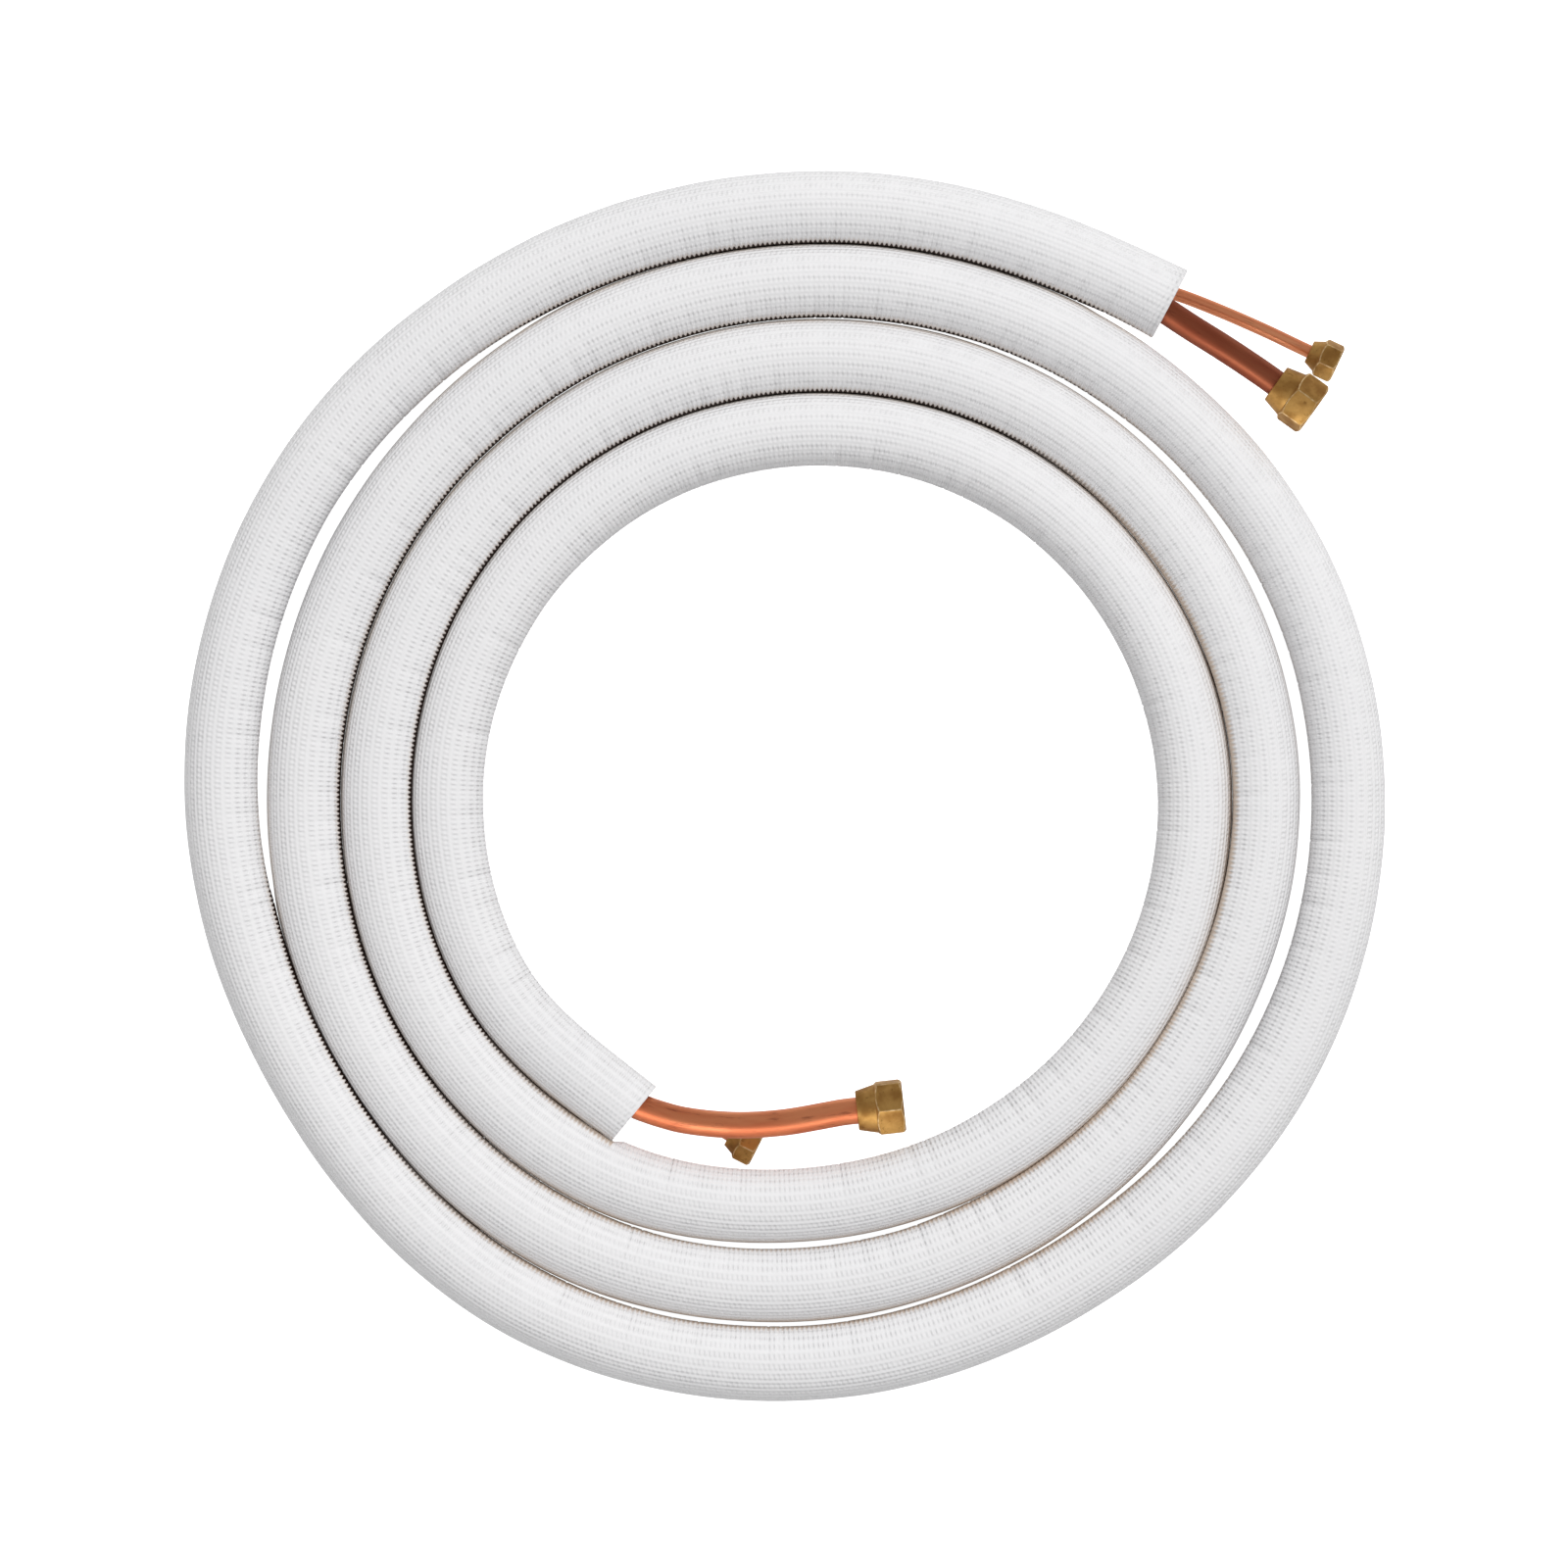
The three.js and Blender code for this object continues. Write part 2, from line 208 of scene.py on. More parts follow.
def middle_radius(angle):
    place = angle / KNOT_ANGLE
    knot = min(max(math.floor(place), 0), len(MIDDLE_RADII) - 3)
    part = place - knot
    start, end = MIDDLE_RADII[knot], MIDDLE_RADII[knot + 1]
    start_slope = (end - MIDDLE_RADII[knot - 1]) / 2 if knot else INNER_END_SLOPE
    end_slope = (MIDDLE_RADII[knot + 2] - start) / 2
    rise = part * part * (3 - 2 * part)
    leave = part * (1 - part) ** 2
    arrive = part * part * (part - 1)
    return start + (end - start) * rise + start_slope * leave + end_slope * arrive


def middle_point(angle):
    bearing = math.radians(INNER_END_BEARING - angle)
    return COIL_CENTRE + middle_radius(angle) * Vector((math.cos(bearing), math.sin(bearing)))


def heading_at(angle):
    return (middle_point(angle + 0.05) - middle_point(angle - 0.05)).normalized()


# How far the middle line has run at every half degree
RUN_STEP = 0.5
run_angles = [step * RUN_STEP for step in range(int(WOUND_ANGLE / RUN_STEP) + 1)] + [WOUND_ANGLE]
runs = [0.0]
for earlier, later in zip(run_angles, run_angles[1:]):
    runs.append(runs[-1] + (middle_point(later) - middle_point(earlier)).length)


def angle_at(run):
    place = min(max(bisect(runs, run) - 1, 0), len(runs) - 2)
    share = (run - runs[place]) / (runs[place + 1] - runs[place])
    return run_angles[place] + share * (run_angles[place + 1] - run_angles[place])


def tube_middle(run):
    """Where the tube lies in its sleeve: on the middle line, but off it near both ends."""
    angle = angle_at(run)
    heading = heading_at(angle)
    outward = Vector((-heading.y, heading.x))
    drift = INNER_END_DRIFT * math.exp(-run / DRIFT_LENGTH)
    drift += OUTER_END_DRIFT * math.exp((run - runs[-1]) / DRIFT_LENGTH)
    return middle_point(angle) - outward * drift


def bulge(angle, at, width, height):
    return height * math.exp(-(((angle - at) / width) ** 2))


def soft_limit(reach, limit):
    """Flattens a reach that would pass the limit, with a small soft edge."""
    over = reach - limit
    soft = 0.3
    if over <= -soft:
        return reach
    if over >= soft:
        return limit
    return reach - (over + soft) ** 2 / (4 * soft)


def creased_stations(start, end, luck):
    """Distances along the sleeve, each with its crease depth, a little raised beside each crease."""
    stations = [(start, 0.0), (start + RIM_ROUNDING, 0.0)]
    place = start + luck.uniform(*FIRST_CREASE)
    while place < end - FIRST_CREASE[0]:
        depth = luck.uniform(*CREASE_SHARES) ** CREASE_POWER
        raised = -CREASE_LIP * depth
        stations += [
            (place - CREASE_HALF_WIDTH, raised),
            (place, depth),
            (place + CREASE_HALF_WIDTH, raised),
        ]
        gap = luck.uniform(*CREASE_GAPS)
        plain = gap - 2 * CREASE_HALF_WIDTH
        fills = math.ceil(plain / PLAIN_SPACING)
        for fill in range(1, fills):
            stations.append((place + CREASE_HALF_WIDTH + plain * fill / fills, 0.0))
        place += gap
    stations = [(run, depth) for run, depth in stations if run < end - RIM_ROUNDING]
    return stations + [(end - RIM_ROUNDING, 0.0), (end, 0.0)]


def grid_step(vert, rows, sides):
    """Row and side of a vertex in a grid one metre wide that isn't wrapped yet."""
    return round((vert.co.x + 0.5) * (len(rows) - 1)), round((vert.co.y + 0.5) * sides)


def close_skin(skin):
    """Joins the borders of a wrapped grid, so that it is one closed skin."""
    border = [vert for vert in skin.verts if vert.is_boundary]
    bmesh.ops.remove_doubles(skin, verts=border, dist=1e-6)
    bmesh.ops.recalc_face_normals(skin, faces=skin.faces)


def finished_piece(name, body):
    mesh = bpy.data.meshes.new(name)
    body.to_mesh(mesh)
    body.free()
    piece = bpy.data.objects.new(name, mesh)
    bpy.context.scene.collection.objects.link(piece)
    return piece


def rows_round(radius):
    """Rows of waffle cells round a sleeve."""
    return round(2 * math.pi * radius / WAFFLE_PITCH)


def make_sleeve(name, height, radius, bore_radius, start, end, press, seed):
    """A foam sleeve: a grid wrapped into the outer skin, both cut ends and the bore, as one closed skin."""
    luck = random.Random(seed)
    stations = creased_stations(start, end, luck)
    skin_rows = [(run, radius, depth, "film") for run, depth in stations]
    skin_rows[0] = (start, radius - RIM_ROUNDING, 0.0, "cut")
    skin_rows[-1] = (end, radius - RIM_ROUNDING, 0.0, "cut")
    bore_steps = math.ceil((end - start) / BORE_SPACING)
    bore_rows = [
        (end + (start - end) * step / bore_steps, bore_radius, 0.0, "cut")
        for step in range(bore_steps + 1)
    ]
    rows = skin_rows + bore_rows + [skin_rows[0]]
    sleeve = bmesh.new()
    bmesh.ops.create_grid(sleeve, x_segments=len(rows) - 1, y_segments=SLEEVE_SIDES, size=0.5)
    uv = sleeve.loops.layers.uv.new("UVMap")
    inside_clearance = sleeve.verts.layers.float.new("inside_clearance")
    lit_side = sleeve.verts.layers.float.new("lit_side")
    pressed_outside = sleeve.verts.layers.float.new("pressed_outside")
    waffle_rows = rows_round(radius)
    places = []
    for run, section, depth, kind in rows:
        angle = angle_at(run)
        here = middle_radius(angle)
        # Room up to the contact plane on each side, and half the pitch there
        inner_side = outer_side = radius * 2, radius * 2
        if angle > 360:
            half_pitch = (here - middle_radius(angle - 360)) / 2
            inner_side = half_pitch - bulge(angle, BULGE_ANGLE, BULGE_SPREAD, BULGE), half_pitch
        if angle + 360 < WOUND_ANGLE:
            half_pitch = (middle_radius(angle + 360) - here) / 2
            outer_side = half_pitch + bulge(angle + 360, BULGE_ANGLE, BULGE_SPREAD, BULGE), half_pitch
        heading = heading_at(angle)
        outward = Vector((-heading.y, heading.x))
        middle = tube_middle(run) if section == bore_radius and press else middle_point(angle)
        places.append((middle, outward, inner_side, outer_side))
    for face in sleeve.faces:
        steps = [grid_step(loop.vert, rows, SLEEVE_SIDES) for loop in face.loops]
        face.smooth = True
        face.material_index = int(any(rows[row][1] < radius - 1 for row, side in steps))
        for loop, (row, side) in zip(face.loops, steps):
            loop[uv].uv = (rows[row][0] / WAFFLE_PITCH, side / SLEEVE_SIDES * waffle_rows)
    for vert in sleeve.verts:
        row, side = grid_step(vert, rows, SLEEVE_SIDES)
        run, section, depth, kind = rows[row]
        middle, outward, inner_side, outer_side = places[row]
        turn = math.radians(-90 + 360 * side / SLEEVE_SIDES)
        reach, rise = math.cos(turn), math.sin(turn)
        if kind == "film":
            inner_share = min(max((CREASES_END - reach) / CREASES_FADE, 0), 1)
            section -= depth * inner_share * inner_share * (3 - 2 * inner_share)
            lumps = Vector((middle.x / LUMP_LENGTH, middle.y / LUMP_LENGTH, (rise + seed) * LUMP_TWIST))
            section += LUMP_HEIGHT * noise.noise(lumps) - FILM_SHRINK
            if press:
                section += bulge(angle_at(run), FAT_ANGLE, FAT_SPREAD, FATTER)
                section += END_FLARE * math.exp((run - end) / END_FLARE_LENGTH)
        across = section * reach
        vert[inside_clearance] = radius
        if press and kind == "film":
            room, half_pitch = outer_side if across > 0 else inner_side
            fill = room - PRESSED_GAP
            touching = (TOUCHING_ROOM + TOUCHING_BLEND - half_pitch) / TOUCHING_BLEND
            touching = min(max(touching, 0), 1)
            spread_out = 1 + touching * (max(fill / radius, PRESSED_SPREAD) - 1)
            across = math.copysign(soft_limit(abs(across) * spread_out, fill), across)
            # The clearance to the contact plane and the side facing the key light place the painted seam
            # shadow and tan shade; how hard the outer side presses places the painted cream bounce light
            vert[inside_clearance] = inner_side[0] + across
            vert[lit_side] = min(max(0.5 - 2 * outward.dot(SHADED_SIDE), 0), 1)
            vert[pressed_outside] = min(max((radius + FRINGE_ROOM - outer_side[0]) / FRINGE_FADE, 0), 1)
        ground = middle + outward * across
        vert.co = Vector((ground.x, ground.y, height + section * rise)) * MM
    close_skin(sleeve)
    for edge in sleeve.edges:
        if len({face.material_index for face in edge.link_faces}) > 1:
            edge.smooth = False
    return finished_piece(name, sleeve)


def new_material(name):
    """A material with its principled shader, and its node tree."""
    material = bpy.data.materials.new(name)
    material.use_nodes = True
    return material, material.node_tree, material.node_tree.nodes["Principled BSDF"]


def feed(tree, value, socket):
    if isinstance(value, bpy.types.NodeSocket):
        tree.links.new(value, socket)
    else:
        socket.default_value = value


def sums(tree, operation, first, second=0.0):
    """One Math node of the tree, fed with sockets or numbers."""
    node = tree.nodes.new("ShaderNodeMath")
    node.operation = operation
    feed(tree, first, node.inputs[0])
    feed(tree, second, node.inputs[1])
    return node.outputs[0]


def spread(tree, value, from_low, from_high, to_low=0.0, to_high=1.0):
    """Maps a range of a value to another range, clamped, with a smooth start and end."""
    node = tree.nodes.new("ShaderNodeMapRange")
    node.interpolation_type = "SMOOTHSTEP"
    feed(tree, value, node.inputs["Value"])
    feed(tree, from_low, node.inputs["From Min"])
    feed(tree, from_high, node.inputs["From Max"])
    feed(tree, to_low, node.inputs["To Min"])
    feed(tree, to_high, node.inputs["To Max"])
    return node.outputs["Result"]


def tinted(tree, share, first, second):
    """A colour between two colours."""
    node = tree.nodes.new("ShaderNodeMix")
    node.data_type = "RGBA"
    feed(tree, share, node.inputs["Factor"])
    feed(tree, first, node.inputs["A"])
    feed(tree, second, node.inputs["B"])
    return node.outputs["Result"]


def mottle(tree, vector, scale, detail=3.0, roughness=0.5):
    node = tree.nodes.new("ShaderNodeTexNoise")
    tree.links.new(vector, node.inputs["Vector"])
    node.inputs["Scale"].default_value = scale
    node.inputs["Detail"].default_value = detail
    node.inputs["Roughness"].default_value = roughness
    return node.outputs["Fac"]


def named_value(tree, name):
    node = tree.nodes.new("ShaderNodeAttribute")
    node.attribute_name = name
    return node.outputs["Fac"]


FILM_WHITE = (0.905, 0.898, 0.905, 1)
# Painted cream bounce light beside a contact
BOUNCE_CREAM = (0.86, 0.70, 0.55, 1)
# Painted shadow in the seam where turns press together
SEAM_SHADOW_BROWN = (0.022, 0.008, 0.004, 1)
# Painted tan shade round a contact, softer than the seam shadow
PAINTED_TAN_SHADE = (0.60, 0.47, 0.36, 1)
FILM_SHADE = (0.865, 0.862, 0.875, 1)
# Heights in the emboss, as shares of its depth: everywhere, and more where the bend presses or stretches
EMBOSS_DEPTH = 0.28
RIB_HEIGHT, RIB_PRESSED = 0.28, 0.50
LINE_HEIGHT, LINE_STRETCHED = 0.25, 0.40
CELL_HEIGHT = 0.42
GRAIN_HEIGHT = 0.1
# How far from the contact plane the painted seam shadow and the painted tan shade reach, from their faint
# edge to their full strength
SEAM_SHADOW_EDGES = 1.45, 0.95
TAN_SHADE_EDGES = 3.3, 0.8
# The painted seam shadow is toothed, darker between the ribs
SEAM_SHADOW_TOOTH = 0.6


def film_material(name, waffle_rows):
    """White film over foam: the UV map counts waffle cells along the sleeve and round it."""
    material, tree, shader = new_material(name)
    uv = tree.nodes.new("ShaderNodeUVMap").outputs["UV"]
    parts = tree.nodes.new("ShaderNodeSeparateXYZ")
    tree.links.new(uv, parts.inputs["Vector"])
    along, around = parts.outputs["X"], parts.outputs["Y"]
    place = tree.nodes.new("ShaderNodeTexCoord").outputs["Object"]

    # Share of the way round from below: a quarter is the coil's outer side, three quarters its inner
    turned = sums(tree, "DIVIDE", around, float(waffle_rows))
    outer_side = sums(tree, "ABSOLUTE", sums(tree, "SUBTRACT", turned, 0.25))
    inner_side = sums(tree, "ABSOLUTE", sums(tree, "SUBTRACT", turned, 0.75))
    bend_inside = spread(tree, inner_side, 0.30, 0.04)
    bend_outside = spread(tree, outer_side, 0.30, 0.06)

    rib = sums(tree, "SINE", sums(tree, "MULTIPLY", along, 2 * math.pi))
    line = sums(tree, "SINE", sums(tree, "MULTIPLY", around, 2 * math.pi))
    # Every other row of cells is set half a cell further on
    row_turn = sums(tree, "SINE", sums(tree, "MULTIPLY", around, math.pi))
    cells = sums(tree, "MULTIPLY", rib, row_turn)
    rib_depth = sums(tree, "MULTIPLY_ADD", bend_inside, RIB_PRESSED)
    rib_depth.node.inputs[2].default_value = RIB_HEIGHT
    line_depth = sums(tree, "MULTIPLY_ADD", bend_outside, LINE_STRETCHED)
    line_depth.node.inputs[2].default_value = LINE_HEIGHT
    waffle = sums(
        tree,
        "ADD",
        sums(tree, "MULTIPLY", rib, rib_depth),
        sums(tree, "MULTIPLY", line, line_depth),
    )
    waffle = sums(tree, "ADD", waffle, sums(tree, "MULTIPLY", cells, CELL_HEIGHT))
    uneven = mottle(tree, place, 160, 2)
    worn = sums(tree, "MULTIPLY", waffle, spread(tree, uneven, 0.25, 0.7, 0.55, 1.1))
    fine = mottle(tree, place, 1400, 3)
    height = sums(tree, "ADD", worn, sums(tree, "MULTIPLY", fine, GRAIN_HEIGHT))
    bump = tree.nodes.new("ShaderNodeBump")
    bump.inputs["Strength"].default_value = 1.0
    bump.inputs["Distance"].default_value = EMBOSS_DEPTH * MM
    tree.links.new(height, bump.inputs["Height"])
    tree.links.new(bump.outputs["Normal"], shader.inputs["Normal"])

    # Where turns press together, light and shade are painted: painted cream bounce light on one side,
    # painted shadow dark between the ribs on the other, and painted tan shade round the contact
    pressed_outside = named_value(tree, "pressed_outside")
    # Painted cream bounce light, patchy, on the outer side where it presses the next turn
    fringe = sums(tree, "MULTIPLY", spread(tree, outer_side, 0.085, 0.02), pressed_outside)
    bounce_mottle = mottle(tree, place, 45, 3)
    fringe = sums(tree, "MULTIPLY", fringe, spread(tree, bounce_mottle, 0.2, 0.75, 0.45, 1.0))
    tooth = sums(tree, "MULTIPLY", rib, SEAM_SHADOW_TOOTH)
    near = sums(tree, "ADD", named_value(tree, "inside_clearance"), tooth)
    lit = named_value(tree, "lit_side")
    shaded = sums(tree, "SUBTRACT", 1.0, lit)
    # Painted seam shadow, darkest on the side away from the key light
    seam_shadow = sums(tree, "MULTIPLY", spread(tree, near, *SEAM_SHADOW_EDGES), shaded)
    # Painted tan shade round the contact, stronger on the side facing the key light
    tan_shade_share = spread(tree, lit, 0.0, 1.0, 0.5, 0.85)
    tan_shade = sums(tree, "MULTIPLY", spread(tree, near, *TAN_SHADE_EDGES), tan_shade_share)
    cloud = spread(tree, mottle(tree, place, 14, 3), 0.3, 0.7, 0.0, 0.35)
    clean = tinted(tree, cloud, FILM_WHITE, FILM_SHADE)
    fringed = tinted(tree, fringe, clean, BOUNCE_CREAM)
    tan_shaded_film = tinted(tree, tan_shade, fringed, PAINTED_TAN_SHADE)
    tree.links.new(tinted(tree, seam_shadow, tan_shaded_film, SEAM_SHADOW_BROWN), shader.inputs["Base Color"])

    sheen_spots = spread(tree, uneven, 0.3, 0.7, 0.46, 0.6)
    tree.links.new(sheen_spots, shader.inputs["Roughness"])
    shader.inputs["Specular IOR Level"].default_value = 0.35
    return material


def foam_core_material():
    """The cut face of the foam: matt white with fine closed cells."""
    material, tree, shader = new_material("cut_foam")
    place = tree.nodes.new("ShaderNodeTexCoord").outputs["Object"]
    cells = tree.nodes.new("ShaderNodeTexVoronoi")
    cells.inputs["Scale"].default_value = 1500
    tree.links.new(place, cells.inputs["Vector"])
    bump = tree.nodes.new("ShaderNodeBump")
    bump.inputs["Strength"].default_value = 0.6
    bump.inputs["Distance"].default_value = 0.25 * MM
    tree.links.new(cells.outputs["Distance"], bump.inputs["Height"])
    tree.links.new(bump.outputs["Normal"], shader.inputs["Normal"])
    patch = spread(tree, mottle(tree, place, 90, 3), 0.3, 0.7)
    tree.links.new(
        tinted(tree, patch, (0.86, 0.86, 0.87, 1), (0.78, 0.785, 0.80, 1)),
        shader.inputs["Base Color"],
    )
    shader.inputs["Roughness"].default_value = 0.85
    return material


cut_foam = foam_core_material()
suction_sleeve = make_sleeve(
    "suction_line_sleeve",
    SUCTION_HEIGHT,
    SUCTION_SLEEVE_RADIUS,
    SUCTION_BORE_RADIUS,
    0.0,
    runs[-1],
    True,
    4,
)
suction_film = film_material("suction_sleeve_film", rows_round(SUCTION_SLEEVE_RADIUS))
suction_sleeve.data.materials.append(suction_film)
suction_sleeve.data.materials.append(cut_foam)
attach(suction_sleeve, "line_set")
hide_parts("suction_line_insulation")

# Liquid line's foam sleeve
# The thinner sleeve of the quarter inch line. It lies underneath, turn for turn, carries the suction
# line, and stops a little short of it at both ends.
LIQUID_HEIGHT = 14.125
LIQUID_SLEEVE_RADIUS = 14.0
LIQUID_BORE_RADIUS = 3.45
LIQUID_SHORTER_INSIDE = 12.0
LIQUID_SHORTER_OUTSIDE = 34.0

liquid_sleeve = make_sleeve(
    "liquid_line_sleeve",
    LIQUID_HEIGHT,
    LIQUID_SLEEVE_RADIUS,
    LIQUID_BORE_RADIUS,
    LIQUID_SHORTER_INSIDE,
    runs[-1] - LIQUID_SHORTER_OUTSIDE,
    False,
    9,
)
liquid_film = film_material("liquid_sleeve_film", rows_round(LIQUID_SLEEVE_RADIUS))
liquid_sleeve.data.materials.append(liquid_film)
liquid_sleeve.data.materials.append(cut_foam)
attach(liquid_sleeve, "line_set")
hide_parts("liquid_line_insulation")

# Suction line's copper tube
# Soft drawn half inch copper, satin and a little tarnished, bent by hand beyond the sleeve at both
# ends. Each end is flared at 45 degrees inside its nut, which it keeps from coming off.
TUBE_SIDES = 32
TUBE_WALL = 0.8
TAIL_SPACING = 1.6
COIL_SPACING = 9.0
SUCTION_TUBE_RADIUS = 6.35
SUCTION_FLARE_RADIUS = 8.3
SUCTION_MOUTH_DEPTH = 10.445
SUCTION_INNER_BENDS = [(-59.2, -156.8), (-47.5, -159.8), (-24.0, -162.1), (-0.8, -160.9)]
SUCTION_OUTER_BENDS = [(194.0, 215.8), (206.2, 208.2), (218.0, 200.5)]
NUT_LENGTHS = {"suction": 22.4, "liquid": 14.8}
STRAIGHT_BEFORE_NUT = 6.0
SHARP_LIP = 30


def nut_line(line, end):
    """Back of a nut and the way it points, on the ground, from its turning joint."""
    joint = joints[f"{line}_nut_{end}_turn"]
    axis = Vector(joint["axis"][:2]).normalized()
    return Vector(joint["pos_m"][:2]) / MM - axis * NUT_LENGTHS[line], axis


def smooth_line(points, spacing):
    """A centripetal curve through the points, as closely spaced points."""
    ends = [2 * points[0] - points[1], *points, 2 * points[-1] - points[-2]]
    line = []
    for before, start, end, after in zip(ends, ends[1:], ends[2:], ends[3:]):
        gaps = [
            max((second - first).length, 1e-6) ** 0.5
            for first, second in ((before, start), (start, end), (end, after))
        ]
        leave = (start - before) / gaps[0] - (end - before) / (gaps[0] + gaps[1]) + (end - start) / gaps[1]
        arrive = (end - start) / gaps[1] - (after - start) / (gaps[1] + gaps[2]) + (after - end) / gaps[2]
        leave, arrive = leave * gaps[1], arrive * gaps[1]
        steps = max(math.ceil((end - start).length / spacing), 1)
        for step in range(steps):
            part = step / steps
            line.append(
                start * (2 * part**3 - 3 * part**2 + 1)
                + leave * (part**3 - 2 * part**2 + part)
                + end * (3 * part**2 - 2 * part**3)
                + arrive * (part**3 - part**2)
            )
    return line + [points[-1]]


def tail_line(first, bends, line, end, mouth_depth):
    back, axis = nut_line(line, end)
    points = [first, *[Vector(bend) for bend in bends]]
    points += [back - axis * STRAIGHT_BEFORE_NUT, back, back + axis * mouth_depth]
    return smooth_line(points, TAIL_SPACING)


def make_tube(name, height, radius, flare_radius, mouth_depth, line, start, end, bends):
    """A copper tube from flare to flare: a grid wrapped into its outside, both lips and its bore."""
    lies = tube_middle if line == "suction" else lambda run: middle_point(angle_at(run))
    inner_tail = tail_line(lies(start), bends[0], line, "inner", mouth_depth)
    outer_tail = tail_line(lies(end), bends[1], line, "outer", mouth_depth)
    steps = math.ceil((end - start) / COIL_SPACING)
    wound = [lies(start + (end - start) * step / steps) for step in range(1, steps)]
    route = [*reversed(inner_tail), *wound, *outer_tail]
    travelled = [0.0]
    for earlier, later in zip(route, route[1:]):
        travelled.append(travelled[-1] + (later - earlier).length)
    outer_rows, bore_rows = [], []
    flare_rise = flare_radius - radius
    bore_radius = radius - TUBE_WALL
    bore_rise = flare_rise - TUBE_WALL * (math.sqrt(2) - 1)
    for place, run in enumerate(travelled):
        to_mouth = min(run, travelled[-1] - run)
        before = route[max(place - 1, 0)]
        after = route[min(place + 1, len(route) - 1)]
        heading = (after - before).normalized()
        flare = max(flare_rise - to_mouth, 0.0)
        funnel = max(bore_rise - to_mouth, 0.0)
        outer_rows.append((route[place], heading, run, radius + flare))
        bore_rows.append((route[place], heading, run, bore_radius + funnel))
    rows = outer_rows + bore_rows[::-1] + [outer_rows[0]]
    tube = bmesh.new()
    bmesh.ops.create_grid(tube, x_segments=len(rows) - 1, y_segments=TUBE_SIDES, size=0.5)
    uv = tube.loops.layers.uv.new("UVMap")
    for face in tube.faces:
        face.smooth = True
        for loop in face.loops:
            row, side = grid_step(loop.vert, rows, TUBE_SIDES)
            loop[uv].uv = (rows[row][2] * MM, side / TUBE_SIDES)
    for vert in tube.verts:
        row, side = grid_step(vert, rows, TUBE_SIDES)
        middle, heading, run, section = rows[row]
        turn = math.radians(-90 + 360 * side / TUBE_SIDES)
        ground = middle + Vector((-heading.y, heading.x)) * section * math.cos(turn)
        vert.co = Vector((ground.x, ground.y, height + section * math.sin(turn))) * MM
    close_skin(tube)
    for edge in tube.edges:
        if edge.is_manifold and edge.calc_face_angle() > math.radians(SHARP_LIP):
            edge.smooth = False
    return finished_piece(name, tube)


def handled_metal_group():
    """Bare metal that has been drawn or forged and handled: fine grain, dull patches and stains."""
    group = bpy.data.node_groups.new("handled_metal", "ShaderNodeTree")
    sockets = [
        ("Place", "NodeSocketVector", None),
        ("Bright Color", "NodeSocketColor", None),
        ("Dull Color", "NodeSocketColor", None),
        ("Stain Color", "NodeSocketColor", None),
        ("Patch Scale", "NodeSocketFloat", 60.0),
        ("Grain Scale", "NodeSocketFloat", 900.0),
        ("Stain Share", "NodeSocketFloat", 0.5),
        ("Smoothness", "NodeSocketFloat", 0.3),
    ]
    for name, kind, value in sockets:
        socket = group.interface.new_socket(name, in_out="INPUT", socket_type=kind)
        if value is not None:
            socket.default_value = value
    for name, kind in (
        ("Color", "NodeSocketColor"),
        ("Roughness", "NodeSocketFloat"),
        ("Height", "NodeSocketFloat"),
    ):
        group.interface.new_socket(name, in_out="OUTPUT", socket_type=kind)
    given = group.nodes.new("NodeGroupInput").outputs
    results = group.nodes.new("NodeGroupOutput").inputs
    patches = mottle(group, given["Place"], 1.0, 4)
    group.links.new(given["Patch Scale"], patches.node.inputs["Scale"])
    grain = mottle(group, given["Place"], 1.0, 3, 0.6)
    group.links.new(given["Grain Scale"], grain.node.inputs["Scale"])
    stains = mottle(group, given["Place"], 1.0, 5, 0.65)
    group.links.new(sums(group, "MULTIPLY", given["Patch Scale"], 2.7), stains.node.inputs["Scale"])
    dull = spread(group, patches, 0.35, 0.68)
    mixed = tinted(group, dull, given["Bright Color"], given["Dull Color"])
    stained = sums(group, "MULTIPLY", spread(group, stains, 0.56, 0.72), given["Stain Share"])
    group.links.new(tinted(group, stained, mixed, given["Stain Color"]), results["Color"])
    rough = sums(group, "ADD", given["Smoothness"], sums(group, "MULTIPLY", dull, 0.12))
    rough = sums(group, "ADD", rough, sums(group, "MULTIPLY", grain, 0.10))
    group.links.new(rough, results["Roughness"])
    lumps = sums(group, "ADD", sums(group, "MULTIPLY", grain, 0.4), patches)
    group.links.new(lumps, results["Height"])
    return group


handled_metal = handled_metal_group()
# Painted darker reflection for the outer end of the thick tube
DARK_REFLECTION_COPPER = (0.20, 0.042, 0.024, 1)
DARKENING_LENGTH = 0.05
DARK_ROUGHNESS = 0.13
# The drawn marks are long and thin: the place runs slowly along the tube, and round a small circle
DRAWN_OUT = 0.16
DRAWN_CIRCLE = 0.0064


